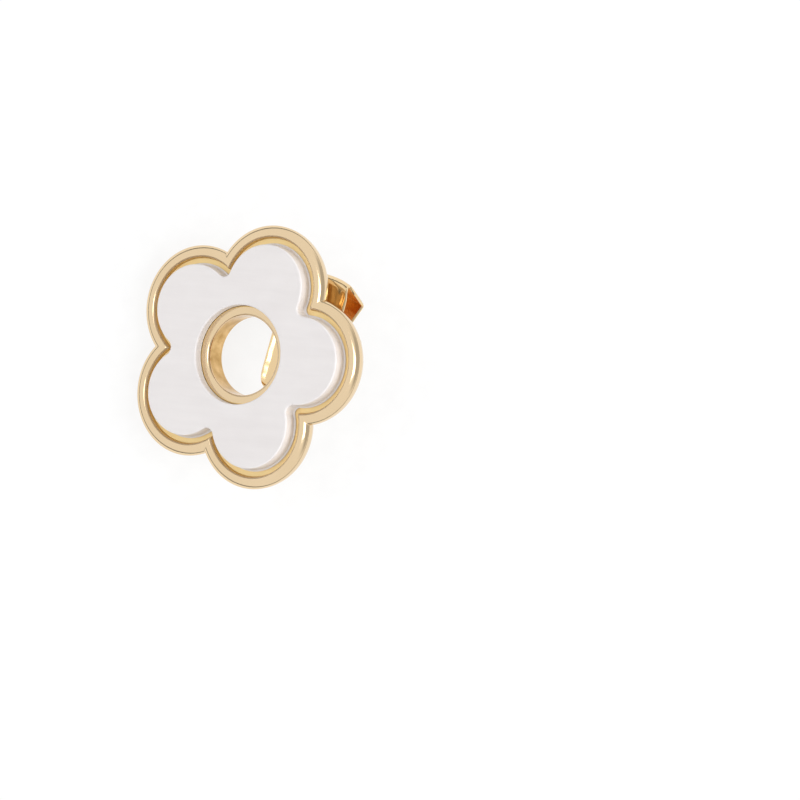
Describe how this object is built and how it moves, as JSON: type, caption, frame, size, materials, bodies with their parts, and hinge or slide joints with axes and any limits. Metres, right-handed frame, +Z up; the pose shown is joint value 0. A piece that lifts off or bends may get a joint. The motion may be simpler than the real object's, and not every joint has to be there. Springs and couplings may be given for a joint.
{
  "type": "flower stud earring",
  "caption": "Stud earring with a gold flower bezel of round petals, a white inlay and a collared hole in the centre, on a straight post with a removable butterfly clutch.",
  "frame": {"origin": "middle of the bounding box in plan, on the surface that the stud lies on", "axes": "+Z is up. +X points from the flower's two lowest petals towards its raised petal, and +Y across it. The stud lies on its post's tip and two petals, so its face leans 35 degrees from +Z towards -X."},
  "size_m": [0.0126, 0.0152, 0.0092],
  "materials": {
    "gold": "polished pale gold plating",
    "inlay": "smooth off-white mother-of-pearl look, satin",
    "clutch_gold": "polished yellow gold plating"
  },
  "bodies": {
    "flower": {"flower_frame": "gold", "petal_inlay": "inlay"},
    "clutch": {"butterfly_clutch": "clutch_gold"}
  },
  "joints": [
    {"name": "clutch_slide", "type": "slide", "parent": "flower", "child": "clutch", "axis": [0.5792, 0, -0.8152], "range_m": [0, 0.0075]}
  ]
}
